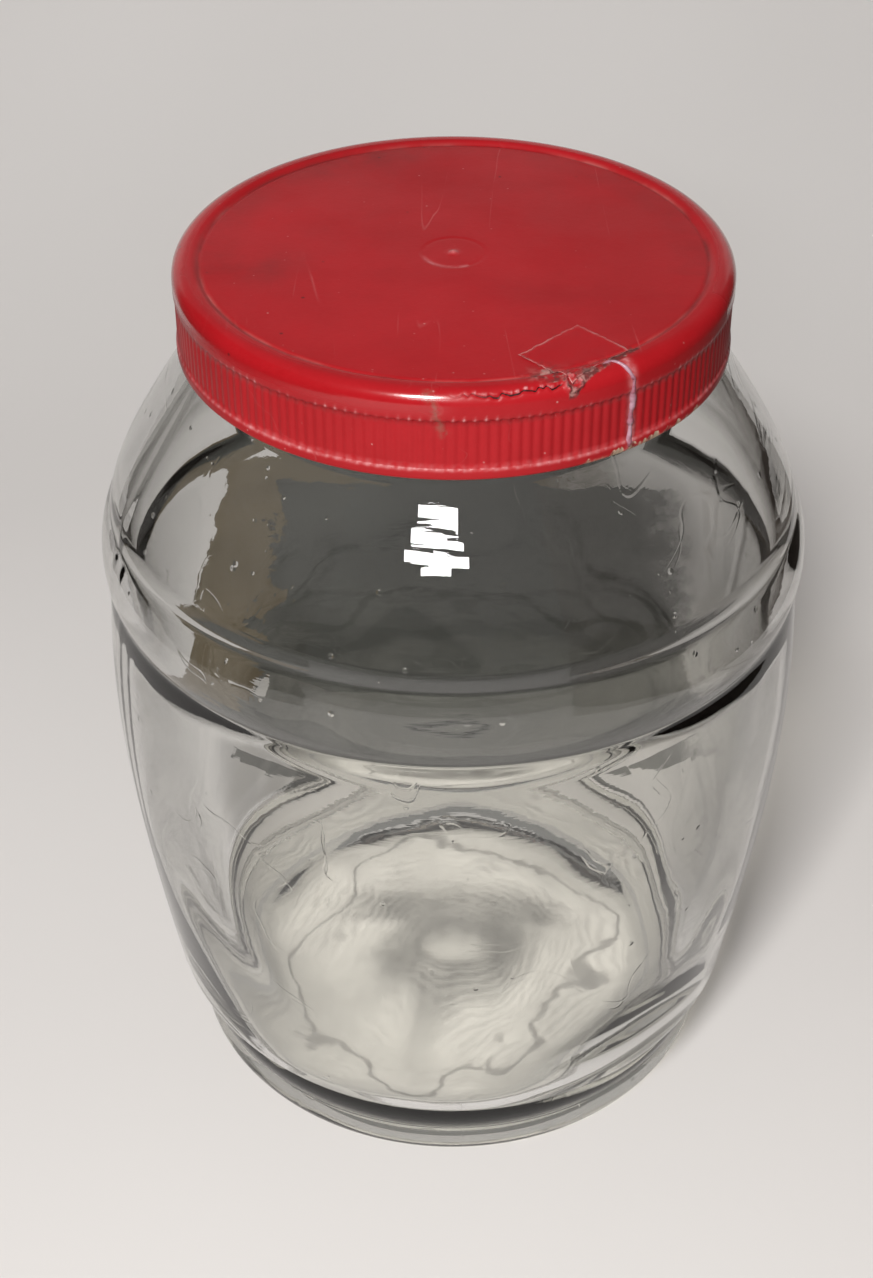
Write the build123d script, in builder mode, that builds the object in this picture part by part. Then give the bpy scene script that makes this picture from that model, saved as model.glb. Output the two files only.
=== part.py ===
from build123d import *
import os
from math import cos, radians, sin

# Coin bank jar, in millimetres. The origin is the centre of the base, +Z runs up the jar's
# axis, and the front of the jar faces -Y.

os.makedirs("parts", exist_ok=True)

# ---- Driving dimensions -------------------------------------------------------------------
LID_R = 58.0            # outside of the lid's rim and of its bottom bead
LID_TOP = 206.7         # highest point of the lid when it is screwed down
LID_H = 19.0            # height of the lid's skirt
LID_WALL_R = 55.5       # inside of the skirt
PANEL_TOP = 206.1       # top face of the sunk panel
PANEL_T = 1.4           # thickness of the panel
PANEL_R = 52.3          # groove between the panel and the raised rim
RIB_COUNT = 176         # grip ribs round the skirt
RIB_R = 0.6             # radius of one rib's round back
RIB_BASE_R = 56.95      # radius of the skirt between the ribs

LINER_T = 1.2           # thickness of the sealing disc
LINER_R = 55.2
SEAT_GAP = 0.05         # gap on each side of the liner, so that touching faces never overlap

PITCH = 5.08            # thread rise per turn, five threads to the inch
THREAD_TURNS = 1.25     # thread on the glass
LID_THREAD_TURNS = 1.1
THREAD_H = 1.6          # height of the thread above the neck
THREAD_DROP = 1.6       # the lid's thread lies this far under the glass thread

NECK_R = 53.0           # outside of the glass neck
BORE_R = 48.8           # inside of the glass neck
FOOT_R = 60.6           # outside of the ring that the jar stands on

LID_BOTTOM = LID_TOP - LID_H
PANEL_UNDER = PANEL_TOP - PANEL_T
LINER_Z = PANEL_UNDER - SEAT_GAP - LINER_T
JAR_TOP = LINER_Z - SEAT_GAP
THREAD_Z = JAR_TOP - 2.1 - PITCH * THREAD_TURNS - 0.1


def around(radius, degrees, z):
    """A point at a radius and an angle round the jar's axis."""
    return (radius * cos(radians(degrees)), radius * sin(radians(degrees)), z)


# ---- Glass jar ----------------------------------------------------------------------------
# Outside, from the foot up: two stacked base rings, the barrel, the hoop and the shoulder.
HEEL_Z = 9.4            # groove between the two base rings
SILL_Z = 18.4           # groove between the upper base ring and the barrel
HOOP_LOW_Z = 131.6      # groove under the hoop
HOOP_HIGH_Z = 149.4     # groove over the hoop
SHOULDER_Z = 187.4      # top of the shoulder, where the neck starts

# Control points of the long curves, as radius and height.
barrel = [(69.4, 25.0), (74.9, 60.0), (80.6, 95.0), (77.0, 128.0)]
shoulder = [(75.1, 150.4), (73.9, 157.5), (66.5, 169.0), (54.9, SHOULDER_Z)]
inner_shoulder = [(50.6, 187.0), (62.6, 169.0), (69.4, 158.0), (71.2, 151.0)]
inner_hoop = [(71.2, 151.0), (73.0, 144.0), (73.8, 136.0), (73.4, 128.0)]
inner_barrel = [(73.4, 128.0), (76.9, 95.0), (71.0, 60.0), (65.4, 26.0)]
inner_corner = [(65.4, 26.0), (63.2, 14.0), (48.0, 9.0), (30.0, 9.4)]
inner_floor = [(30.0, 9.4), (20.0, 9.6), (12.0, 10.6), (0, 10.6)]

with BuildPart() as glass_jar:
    with BuildSketch(Plane.XZ) as jar_section:
        with BuildLine() as jar_outline:
            Line((0, 3.2), (30.0, 2.6))
            ThreePointArc((30.0, 2.6), (46.0, 1.7), (55.0, 0))
            Line((55.0, 0), (FOOT_R, 0))
            ThreePointArc((FOOT_R, 0), (63.5, 3.6), (63.2, HEEL_Z))
            ThreePointArc((63.2, HEEL_Z), (65.0, 13.6), (65.0, SILL_Z))
            Line((65.0, SILL_Z), (66.3, 18.9))
            ThreePointArc((66.3, 18.9), (68.2, 21.6), barrel[0])
            Bezier(*barrel)
            Line(barrel[-1], (76.5, HOOP_LOW_Z))
            ThreePointArc((76.5, HOOP_LOW_Z), (77.9, 138.0), (75.3, HOOP_HIGH_Z))
            Line((75.3, HOOP_HIGH_Z), shoulder[0])
            Bezier(*shoulder)
            ThreePointArc(shoulder[-1], (53.6, 188.7), (NECK_R, 190.6))
            Line((NECK_R, 190.6), (NECK_R, JAR_TOP - 1.4))
            ThreePointArc((NECK_R, JAR_TOP - 1.4), (52.6, JAR_TOP - 0.4), (51.6, JAR_TOP))
            Line((51.6, JAR_TOP), (50.2, JAR_TOP))
            ThreePointArc((50.2, JAR_TOP), (49.2, JAR_TOP - 0.4), (BORE_R, JAR_TOP - 1.4))
            Line((BORE_R, JAR_TOP - 1.4), (BORE_R, 191.0))
            ThreePointArc((BORE_R, 191.0), (49.3, 188.7), inner_shoulder[0])
            Bezier(*inner_shoulder)
            Bezier(*inner_hoop)
            Bezier(*inner_barrel)
            Bezier(*inner_corner)
            Bezier(*inner_floor)
            Line((0, 10.6), (0, 3.2))
        make_face()
    revolve(axis=Axis.Z)
    with BuildLine() as jar_thread_path:
        jar_helix = Helix(PITCH, PITCH * THREAD_TURNS, NECK_R, center=(0, 0, THREAD_Z))
    with BuildSketch(Plane(origin=jar_helix @ 0, x_dir=(1, 0, 0), z_dir=jar_helix % 0)):
        with BuildLine():
            Polyline((-0.6, -1.4), (THREAD_H, -0.5), (THREAD_H, 0.5), (-0.6, 1.4), close=True)
        make_face()
    sweep(path=jar_helix, is_frenet=True)
glass_jar.part.label = "glass_jar"

# ---- Lid liner ----------------------------------------------------------------------------
with BuildPart(Plane.XY.offset(LINER_Z)) as lid_liner:
    Cylinder(LINER_R, LINER_T, align=(Align.CENTER, Align.CENTER, Align.MIN))
    fillet(lid_liner.edges(), 0.2)
lid_liner.part.label = "lid_liner"

# ---- Screw lid ----------------------------------------------------------------------------
RIM_ROUND = 3.1         # size of the round edge of the rim
RIB_LOW_Z = 190.2       # the ribs run between the bottom bead and the smooth rim band
RIB_HIGH_Z = 200.5


def lid_outline(outset):
    """The lid's outer edge from its middle to the top of the ribs, moved outwards by outset."""
    rim_z = LID_TOP + outset
    rim_r = LID_R + outset
    Line((0, PANEL_TOP + outset), (PANEL_R - 0.5, PANEL_TOP + outset))
    Line((PANEL_R - 0.5, PANEL_TOP + outset), (PANEL_R, PANEL_TOP + outset - 0.25))
    Line((PANEL_R, PANEL_TOP + outset - 0.25), (PANEL_R + 0.7, rim_z - 0.25))
    Line((PANEL_R + 0.7, rim_z - 0.25), (LID_R - RIM_ROUND, rim_z))
    ThreePointArc(
        (LID_R - RIM_ROUND, rim_z),
        (LID_R + outset - RIM_ROUND * 0.293, rim_z - RIM_ROUND * 0.293),
        (rim_r, rim_z - RIM_ROUND),
    )
    Line((rim_r, rim_z - RIM_ROUND), (rim_r, RIB_HIGH_Z + 0.5))


with BuildPart() as screw_lid:
    with BuildSketch(Plane.XZ) as lid_section:
        with BuildLine() as lid_edge:
            lid_outline(0)
            Line((LID_R, RIB_HIGH_Z + 0.5), (RIB_BASE_R, RIB_HIGH_Z))
            Line((RIB_BASE_R, RIB_HIGH_Z), (RIB_BASE_R, RIB_LOW_Z))
            Line((RIB_BASE_R, RIB_LOW_Z), (LID_R, RIB_LOW_Z - 0.5))
            Line((LID_R, RIB_LOW_Z - 0.5), (LID_R, LID_BOTTOM + 0.5))
            ThreePointArc((LID_R, LID_BOTTOM + 0.5), (57.85, LID_BOTTOM + 0.15), (57.5, LID_BOTTOM))
            Line((57.5, LID_BOTTOM), (LID_WALL_R + 0.3, LID_BOTTOM))
            Line((LID_WALL_R + 0.3, LID_BOTTOM), (LID_WALL_R, LID_BOTTOM + 0.6))
            Line((LID_WALL_R, LID_BOTTOM + 0.6), (LID_WALL_R, PANEL_UNDER))
            Line((LID_WALL_R, PANEL_UNDER), (0, PANEL_UNDER))
            Line((0, PANEL_UNDER), (0, PANEL_TOP))
        make_face()
    revolve(axis=Axis.Z)
    with BuildSketch(Plane.XY.offset(RIB_LOW_Z - 0.4)) as grip:
        with PolarLocations(RIB_BASE_R, RIB_COUNT):
            Circle(RIB_R)
        Circle(RIB_BASE_R - 0.3, mode=Mode.SUBTRACT)
    extrude(amount=RIB_HIGH_Z - RIB_LOW_Z + 0.8)
    with BuildLine() as lid_thread_path:
        lid_helix = Helix(PITCH, PITCH * LID_THREAD_TURNS, LID_WALL_R)
    with BuildSketch(Plane(origin=lid_helix @ 0, x_dir=(1, 0, 0), z_dir=lid_helix % 0)):
        with BuildLine():
            Polyline((0.5, -1.3), (-THREAD_H, -0.45), (-THREAD_H, 0.45), (0.5, 1.3), close=True)
        make_face()
    lid_ridge = sweep(path=lid_helix, is_frenet=True, mode=Mode.PRIVATE)
    with Locations(Location((0, 0, THREAD_Z - THREAD_DROP - 0.35 * PITCH), (0, 0, -0.35 * 360))):
        add(lid_ridge)
    # Gate mark: a shallow round dimple with the broken-off nib of the moulding gate.
    with BuildSketch(Plane.XY.offset(PANEL_TOP)):
        Circle(6.6)
        Circle(6.3, mode=Mode.SUBTRACT)
    extrude(amount=-0.15, mode=Mode.SUBTRACT)
    with BuildSketch(Plane.XY.offset(PANEL_TOP)):
        Circle(0.8)
    extrude(amount=0.35, taper=25)
screw_lid.part.label = "screw_lid"

# ---- Repairs on the lid -------------------------------------------------------------------
TAPE_T = 0.12
TAPE_LENGTH = 16.6
TAPE_WIDTH = 14.0
TAPE_X = 23.2
TAPE_Y = -41.7

with BuildPart() as tape_patch:
    with BuildSketch(Plane.XZ):
        with BuildLine():
            lid_outline(TAPE_T)
            Line((LID_R + TAPE_T, RIB_HIGH_Z + 0.5), (0, RIB_HIGH_Z + 0.5))
            Line((0, RIB_HIGH_Z + 0.5), (0, PANEL_TOP + TAPE_T))
        make_face()
    revolve(axis=Axis.Z)
    with BuildSketch(Plane.XY.offset(LID_BOTTOM)):
        with Locations(Location((TAPE_X, TAPE_Y), 45)):
            Rectangle(TAPE_LENGTH, TAPE_WIDTH)
    extrude(amount=LID_H + 5, mode=Mode.INTERSECT)
    with BuildSketch(Plane.XZ):
        with BuildLine():
            lid_outline(0)
            Line((LID_R, RIB_HIGH_Z + 0.5), (0, RIB_HIGH_Z + 0.5))
            Line((0, RIB_HIGH_Z + 0.5), (0, PANEL_TOP))
        make_face()
    revolve(axis=Axis.Z, mode=Mode.SUBTRACT)
tape_patch.part.label = "tape_patch"

GLUE_T = 0.5            # height of the bead above the rim
GLUE_WIDTH = 1.3
GLUE_ANGLE = -54.0      # the crack's place round the lid
GLUE_IN_R = 54.0        # the bead starts on the rim and ends at the bottom bead

with BuildPart() as repair_glue:
    with BuildSketch(Plane.XZ):
        with BuildLine():
            lid_outline(GLUE_T)
            Line((LID_R + GLUE_T, RIB_HIGH_Z + 0.5), (LID_R + GLUE_T, LID_BOTTOM + 0.4))
            Line((LID_R + GLUE_T, LID_BOTTOM + 0.4), (0, LID_BOTTOM + 0.4))
            Line((0, LID_BOTTOM + 0.4), (0, PANEL_TOP + GLUE_T))
        make_face()
    revolve(axis=Axis.Z)
    with BuildSketch(Plane.XY.offset(LID_BOTTOM)):
        with Locations(Location(around(GLUE_IN_R + 3.0, GLUE_ANGLE, 0), GLUE_ANGLE)):
            Rectangle(6.0, GLUE_WIDTH)
    extrude(amount=LID_H + 5, mode=Mode.INTERSECT)
    with BuildSketch(Plane.XZ):
        with BuildLine():
            lid_outline(TAPE_T)
            Line((LID_R + TAPE_T, RIB_HIGH_Z + 0.5), (LID_R + TAPE_T, LID_BOTTOM))
            Line((LID_R + TAPE_T, LID_BOTTOM), (0, LID_BOTTOM))
            Line((0, LID_BOTTOM), (0, PANEL_TOP + TAPE_T))
        make_face()
    revolve(axis=Axis.Z, mode=Mode.SUBTRACT)
repair_glue.part.label = "repair_glue"

for piece in (glass_jar, screw_lid, lid_liner, tape_patch, repair_glue):
    export_step(piece.part, f"parts/{piece.part.label}.step")
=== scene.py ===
"""Coin bank jar: a clear barrel jar of pressed glass with a worn red screw lid.

Every piece is worked out in millimetres round the jar's axis and put into Blender in metres.
"""
import math

import bpy
import numpy as np
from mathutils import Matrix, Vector


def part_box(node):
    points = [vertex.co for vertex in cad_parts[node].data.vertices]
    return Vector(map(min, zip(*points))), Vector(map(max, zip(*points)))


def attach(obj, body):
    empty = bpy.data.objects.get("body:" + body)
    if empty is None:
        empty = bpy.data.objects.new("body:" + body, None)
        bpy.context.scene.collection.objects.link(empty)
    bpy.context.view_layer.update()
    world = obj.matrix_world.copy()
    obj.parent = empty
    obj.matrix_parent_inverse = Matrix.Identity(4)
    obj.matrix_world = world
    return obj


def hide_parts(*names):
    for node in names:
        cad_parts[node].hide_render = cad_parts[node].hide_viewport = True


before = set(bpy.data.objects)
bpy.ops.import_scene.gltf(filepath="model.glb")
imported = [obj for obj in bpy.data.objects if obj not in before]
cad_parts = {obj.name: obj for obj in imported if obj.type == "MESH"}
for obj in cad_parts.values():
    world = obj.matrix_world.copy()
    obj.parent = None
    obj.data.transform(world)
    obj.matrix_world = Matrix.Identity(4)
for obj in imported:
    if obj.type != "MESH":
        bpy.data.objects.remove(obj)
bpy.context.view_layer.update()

MM = 0.001

# ---- Sizes from the CAD parts in model.glb, in millimetres ----------------------------------
lid_low, lid_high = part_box("screw_lid")
jar_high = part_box("glass_jar")[1]
liner_low, liner_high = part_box("lid_liner")

LID_BOTTOM = lid_low.z / MM
LID_TOP = LID_BOTTOM + 19.0
LID_R = (lid_high.x - lid_low.x) / 2 / MM
PANEL_TOP = LID_TOP - 0.6
PANEL_UNDER = PANEL_TOP - 1.4
PANEL_R = 52.3
LID_WALL_R = 55.5
RIB_LOW_Z = LID_BOTTOM + 2.5
RIB_HIGH_Z = LID_TOP - 6.2
RIB_COUNT = 176
RIB_BASE_R = LID_R - 0.5
RIB_H = 0.22
RIM_ROUND = 3.1
GATE_R = 6.4

JAR_TOP = jar_high.z / MM
NECK_R = 53.0
BORE_R = 48.8
FOOT_R = 60.6
THREAD_PITCH = 5.08
THREAD_TURNS = 1.25
THREAD_H = 1.6
THREAD_Z = JAR_TOP - 2.2 - THREAD_PITCH * THREAD_TURNS
LID_THREAD_DROP = 1.6
LID_THREAD_TURNS = 1.1
LID_THREAD_START = -0.35

# The tape patch lies turned by 45 degrees over the rim at the front right.
TAPE_CENTRE = (23.2, -41.7)
TAPE_HALF = (8.3, 7.0)
TAPE_TURN = math.radians(45)
TAPE_T = 0.07

# Where the rim is cracked, melted and glued, in degrees round the lid.
CRACK_FROM, CRACK_TO = -92.0, -69.0
MELT_AT, MELT_R = -66.9, 56.9
GLUE_FROM, GLUE_DOWN = -58.8, -53.8
CHIPS_FROM, CHIPS_TO = -65.0, -30.0

PRESSED_DEPTH = 0.22

# Heights in metres, as the glass reads them: over the inside of the jar's floor and over its underside.
FLOOR_TOP, FLOOR_UNDER = 0.024, 0.0045


# ---- Shape helpers --------------------------------------------------------------------------
def bezier(control, count):
    """Cubic curve: the four control points weighted by the Bernstein polynomials of t."""
    t = np.linspace(0, 1, count)[:, None]
    a, b, c, d = (np.asarray(p, float) for p in control)
    return a * (1 - t) ** 3 + 3 * b * t * (1 - t) ** 2 + 3 * c * t**2 * (1 - t) + d * t**3


def bow(start, middle, end, count):
    """Circular arc through three points: the circle's centre is where the two chords' bisectors meet."""
    a, b, c = (np.asarray(p, float) for p in (start, middle, end))
    rows = 2 * np.array([b - a, c - b])
    centre = np.linalg.solve(rows, np.array([b @ b - a @ a, c @ c - b @ b]))
    turn = [math.atan2(*(p - centre)[::-1]) for p in (a, b, c)]
    sweep = (turn[2] - turn[0]) % (2 * math.pi)
    if (turn[1] - turn[0]) % (2 * math.pi) > sweep:
        sweep -= 2 * math.pi
    angle = turn[0] + sweep * np.linspace(0, 1, count)
    radius = np.hypot(*(a - centre))
    return centre + radius * np.stack([np.cos(angle), np.sin(angle)], -1)


def run(start, end, count):
    """Straight stretch of evenly spaced points."""
    return np.linspace(start, end, count)


def chain(*stretches):
    """The stretches one after another, each without its first point, which is the last one's end."""
    return np.concatenate([stretches[0]] + [s[1:] for s in stretches[1:]])


def facing(profile):
    """Unit normals of a profile: its direction of travel turned a quarter to the right."""
    along = np.gradient(profile, axis=0)
    normal = np.stack([along[:, 1], -along[:, 0]], -1)
    return normal / np.maximum(np.linalg.norm(normal, axis=1, keepdims=True), 1e-9)


def bump(x, centre, width):
    """Bell curve: one at the centre, falling off with the squared distance over the width."""
    return np.exp(-(((x - centre) / width) ** 2))


def ease(x, low, high):
    """Smooth step from 0 at low to 1 at high."""
    t = np.clip((x - low) / (high - low), 0, 1)
    return t * t * (3 - 2 * t)


def waves(theta, z, seed, lobes, tall, count=7):
    """Sum of sine waves round and up the axis with random lobe counts, heights and phases, near -1 to 1."""
    dice = np.random.default_rng(seed)
    total = np.zeros(np.broadcast(theta, z).shape)
    for _ in range(count):
        lobe = dice.integers(lobes[0], lobes[1] + 1)
        wave = np.sin(lobe * theta + z / tall * dice.uniform(-1, 1) * 6 + dice.uniform(0, 6.3))
        total += wave * dice.uniform(0.4, 1)
    return total / (0.5 * count)


def jitter(x, seed, step):
    """Value noise on a line: random heights at every step, joined smoothly."""
    dice = np.random.default_rng(seed)
    knots = dice.uniform(-1, 1, 4096)
    cell = np.floor(x / step).astype(int)
    t = x / step - cell
    t = t * t * (3 - 2 * t)
    return knots[cell % 4096] * (1 - t) + knots[(cell + 1) % 4096] * t


def make_mesh(name, points, faces, marks=None):
    """A smooth mesh object from points in millimetres, faces and named values per point."""
    mesh = bpy.data.meshes.new(name)
    mesh.from_pydata((points * MM).tolist(), [], faces)
    mesh.polygons.foreach_set("use_smooth", np.ones(len(faces), bool))
    for mark, values in (marks or {}).items():
        layer = mesh.attributes.new(mark, "FLOAT", "POINT")
        layer.data.foreach_set("value", np.ascontiguousarray(values, np.float32))
    mesh.update()
    piece = bpy.data.objects.new(name, mesh)
    bpy.context.scene.collection.objects.link(piece)
    return piece


def grid_faces(rows, columns, wrap=True):
    """Quads between neighbouring rows and columns of a grid. Each row is closed round unless wrap is off."""
    last_column = columns if wrap else columns - 1
    i, j = np.meshgrid(np.arange(rows - 1), np.arange(last_column), indexing="ij")
    below, above = i * columns, (i + 1) * columns
    right = (j + 1) % columns
    return np.stack([below + j, below + right, above + right, above + j], -1).reshape(-1, 4).tolist()


def turned(name, radius, height, theta, marks=None):
    """Closed turned shape: rows of points at radius and height for each angle, with a single point on the
    axis at each end. The profile travels so that its right side is outside."""
    rows, columns = radius.shape
    ring = np.stack([radius * np.cos(theta), radius * np.sin(theta), height], -1).reshape(-1, 3)
    poles = np.array([[0, 0, height[0].mean()], [0, 0, height[-1].mean()]])
    faces = grid_faces(rows, columns)
    start, end = rows * columns, rows * columns + 1
    last = (rows - 1) * columns
    step = np.arange(columns)
    following = (step + 1) % columns
    faces += np.stack([following, step, np.full(columns, start)], -1).tolist()
    faces += np.stack([last + step, last + following, np.full(columns, end)], -1).tolist()
    flat = {k: np.append(v.reshape(-1), [v[0].mean(), v[-1].mean()]) for k, v in (marks or {}).items()}
    return make_mesh(name, np.concatenate([ring, poles]), faces, flat)


def tube(name, path, across, up, half_width, half_height, sides=12):
    """Closed strip along a path: at each point an ellipse spanned by the across and up directions, with its
    own half width and half height, and a point at each end."""
    turn = np.linspace(0, 2 * np.pi, sides, endpoint=False)
    body = (
        path[:, None]
        + across[:, None] * (np.cos(turn)[None, :, None] * half_width[:, None, None])
        + up[:, None] * (np.sin(turn)[None, :, None] * half_height[:, None, None])
    )
    rows = len(path)
    points = np.concatenate([body.reshape(-1, 3), path[:1], path[-1:]])
    faces = grid_faces(rows, sides)
    step = np.arange(sides)
    following = (step + 1) % sides
    last = (rows - 1) * sides
    faces += np.stack([following, step, np.full(sides, rows * sides)], -1).tolist()
    faces += np.stack([last + step, last + following, np.full(sides, rows * sides + 1)], -1).tolist()
    along = np.gradient(path, axis=0)[0]
    if np.dot(np.cross(across[0], up[0]), along) > 0:
        faces = [f[::-1] for f in faces]
    return make_mesh(name, points, faces)


# ---- Glass jar ------------------------------------------------------------------------------
def thread_ridge(theta, z):
    """Height of the neck's thread: a bell across the helix, faded in and out at its two ends."""
    total = np.zeros(np.broadcast(theta, z).shape)
    for lap in range(3):
        turns = theta / (2 * np.pi) + lap
        centre = THREAD_Z + THREAD_PITCH * turns
        ends = ease(turns, 0, 0.07) * (1 - ease(turns, THREAD_TURNS - 0.07, THREAD_TURNS))
        total = np.maximum(total, ends * np.clip(1.55 * bump(z, centre, 1.05) - 0.12, 0, 1))
    return THREAD_H * total


def glass_outside():
    """Outer profile from the middle of the base up: foot, two base rings, barrel, hoop, shoulder, neck."""
    return chain(
        run((0.6, 3.2), (30.0, 2.6), 8),
        bow((30.0, 2.6), (46.0, 1.7), (55.0, 0), 10),
        run((55.0, 0), (FOOT_R, 0), 4),
        bow((FOOT_R, 0), (63.5, 3.6), (63.3, 9.0), 12),
        bow((63.3, 9.0), (63.1, 9.5), (63.5, 9.9), 4),
        bow((63.5, 9.9), (65.0, 13.6), (65.1, 17.9), 10),
        bow((65.1, 17.9), (65.2, 18.5), (66.3, 18.9), 5),
        bow((66.3, 18.9), (68.2, 21.6), (69.4, 25.0), 9),
        bezier([(69.4, 25.0), (74.9, 60.0), (80.6, 95.0), (77.0, 128.0)], 34),
        bezier([(77.0, 128.0), (76.7, 130.6), (76.2, 131.6), (76.7, 132.8)], 7),
        bezier([(76.7, 132.8), (78.6, 137.5), (78.4, 144.0), (75.5, 149.2)], 18),
        bezier([(75.5, 149.2), (75.0, 150.1), (75.1, 150.8), (74.9, 151.8)], 5),
        bezier([(74.9, 151.8), (73.4, 158.5), (66.3, 169.4), (54.9, 187.4)], 24),
        bow((54.9, 187.4), (53.6, 188.7), (NECK_R, 190.6), 6),
        run((NECK_R, 190.6), (NECK_R, JAR_TOP - 1.4), 26),
        bow((NECK_R, JAR_TOP - 1.4), (52.6, JAR_TOP - 0.4), (51.6, JAR_TOP), 6),
    )


def glass_inside():
    """Inner profile from the rim down to the middle of the floor."""
    return chain(
        run((51.6, JAR_TOP), (50.2, JAR_TOP), 3),
        bow((50.2, JAR_TOP), (49.2, JAR_TOP - 0.4), (BORE_R, JAR_TOP - 1.4), 6),
        run((BORE_R, JAR_TOP - 1.4), (BORE_R, 191.0), 6),
        bow((BORE_R, 191.0), (49.3, 188.7), (50.6, 187.0), 5),
        bezier([(50.6, 187.0), (62.6, 169.0), (69.4, 158.0), (71.2, 151.0)], 18),
        bezier([(71.2, 151.0), (75.2, 146.0), (76.2, 137.0), (73.4, 128.0)], 10),
        bezier([(73.4, 128.0), (76.9, 95.0), (71.0, 60.0), (65.4, 26.0)], 26),
        bezier([(65.4, 26.0), (63.2, 14.0), (48.0, 9.0), (30.0, 9.4)], 26),
        bezier([(30.0, 9.4), (20.0, 9.6), (12.0, 10.6), (0.6, 10.6)], 12),
    )


def glass_jar():
    """The jar: both profiles turned as one closed skin. The outside carries the neck thread, a mould seam
    and a slow wave; the inside is as uneven as pressed glass, most of all round the corner of the floor."""
    columns = 352
    outside, inside = glass_outside(), glass_inside()
    profile = chain(outside, inside)
    theta = np.linspace(0, 2 * np.pi, columns, endpoint=False)[None, :]
    z = profile[:, 1][:, None]
    r = profile[:, 0][:, None]
    outer = (np.arange(len(profile)) < len(outside))[:, None]

    neck = ease(z, 189.5, 191.0)
    skin = 0.06 * waves(theta, z, 3, (2, 9), 60) * ease(z, 22, 60) * (1 - ease(z, 128, 150))
    seam = 0.14 * np.maximum(bump(np.sin(theta - 0.35), 0, 0.018), 0) * ease(z, 20, 26) * (1 - neck)
    thread = thread_ridge(theta, z) * neck * (1 - ease(z, JAR_TOP - 1.2, JAR_TOP - 0.6))
    outer_push = skin + seam + thread

    corner = bump(z, 20, 17) * ease(r, 22, 50)
    settle = 2.9 * waves(theta, z, 11, (3, 6), 70) + 1.6 * waves(theta, z, 12, (5, 12), 45)
    wall = ease(z, 26, 60) * (1 - ease(z, 150, 185))
    drape = 0.36 * waves(theta, z, 13, (2, 8), 90) + 0.14 * waves(theta, z, 14, (9, 24), 110)
    rings = 0.10 * np.sin(r * 1.7 + 0.6 * np.sin(2 * theta)) * (1 - ease(r, 30, 46)) * ease(r, 8, 14)
    dome = 0.9 * bump(r, 0, 4.5) - 0.45 * bump(r, 10.5, 3.2)
    folds = 0.4 * waves(theta, z, 18, (6, 15), 55) * bump(z, 52, 26)
    inner_push = corner * settle + wall * (drape + folds) + (rings + dome) * (z < 30)

    push = np.where(outer, outer_push, inner_push)
    normal = facing(profile)
    radius = np.maximum(r + push * normal[:, 0:1], 0.3)
    height = z + push * normal[:, 1:2]
    return turned("jar_glass", radius, height, theta)


# ---- Lid ------------------------------------------------------------------------------------
def lid_top_height(r):
    """Height of the lid's top at a radius: sunk panel, groove, raised rim and round edge."""
    groove = 0.28 * bump(r, PANEL_R, 0.45)
    rim = 0.6 * ease(r, PANEL_R - 0.1, PANEL_R + 1.6)
    inset = np.clip((r - (LID_R - RIM_ROUND)) / RIM_ROUND, 0, 1)
    edge = RIM_ROUND * (1 - np.sqrt(1 - inset**2))
    return PANEL_TOP - groove + rim - edge


def tape_sides(x, y):
    """Coordinates of a point along and across the tape patch."""
    dx, dy = x - TAPE_CENTRE[0], y - TAPE_CENTRE[1]
    c, s = math.cos(TAPE_TURN), math.sin(TAPE_TURN)
    return dx * c + dy * s, -dx * s + dy * c


def crack_radius(degrees):
    """Radius of the jagged crack along the rim at an angle: short straight bites over a slow drift."""
    return 57.0 + 0.42 * jitter(degrees, 5, 0.8) + 0.25 * jitter(degrees, 6, 2.7)


def lid_profile():
    """Lid profile from the middle of its underside, down the inside, round the bottom bead, up the ribbed
    skirt and over the rim to the middle of the top."""
    inset = np.sin(np.linspace(0, np.pi / 2, 20))
    edge_r = LID_R - RIM_ROUND + RIM_ROUND * inset[::-1]
    edge = np.stack([edge_r, lid_top_height(edge_r)], -1)
    slope_r = np.linspace(LID_R - RIM_ROUND, PANEL_R - 1.2, 15)
    slope = np.stack([slope_r, lid_top_height(slope_r)], -1)
    panel_r = np.linspace(PANEL_R - 1.2, 7.4, 12)
    mark_r = np.concatenate([np.linspace(7.4, 5.2, 6), [3.6, 2.2, 1.4, 1.0, 0.7, 0.4, 0.15]])
    panel = np.stack([panel_r, np.full(12, PANEL_TOP)], -1)
    mark = np.stack([mark_r, np.full(len(mark_r), PANEL_TOP)], -1)
    corner = [(LID_WALL_R - 0.6, PANEL_UNDER), (LID_WALL_R, PANEL_UNDER - 0.6)]
    return chain(
        run((0.5, PANEL_UNDER), corner[0], 4),
        bow(corner[0], (LID_WALL_R - 0.2, PANEL_UNDER - 0.2), corner[1], 3),
        run(corner[1], (LID_WALL_R, LID_BOTTOM + 0.6), 4),
        run((LID_WALL_R, LID_BOTTOM + 0.6), (LID_WALL_R + 0.4, LID_BOTTOM), 3),
        run((LID_WALL_R + 0.4, LID_BOTTOM), (LID_R - 0.5, LID_BOTTOM), 4),
        bow((LID_R - 0.5, LID_BOTTOM), (LID_R - 0.15, LID_BOTTOM + 0.15), (LID_R, LID_BOTTOM + 0.5), 4),
        run((LID_R, LID_BOTTOM + 0.5), (LID_R, RIB_LOW_Z - 0.7), 5),
        bow((LID_R, RIB_LOW_Z - 0.7), (LID_R - 0.15, RIB_LOW_Z - 0.35), (RIB_BASE_R, RIB_LOW_Z), 5),
        run((RIB_BASE_R, RIB_LOW_Z), (RIB_BASE_R, RIB_HIGH_Z), 9),
        bow((RIB_BASE_R, RIB_HIGH_Z), (LID_R - 0.2, RIB_HIGH_Z + 0.3), (LID_R, RIB_HIGH_Z + 0.9), 5),
        run((LID_R, RIB_HIGH_Z + 0.9), (LID_R, LID_TOP - RIM_ROUND), 4),
        edge,
        slope,
        panel,
        mark,
    )


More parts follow.
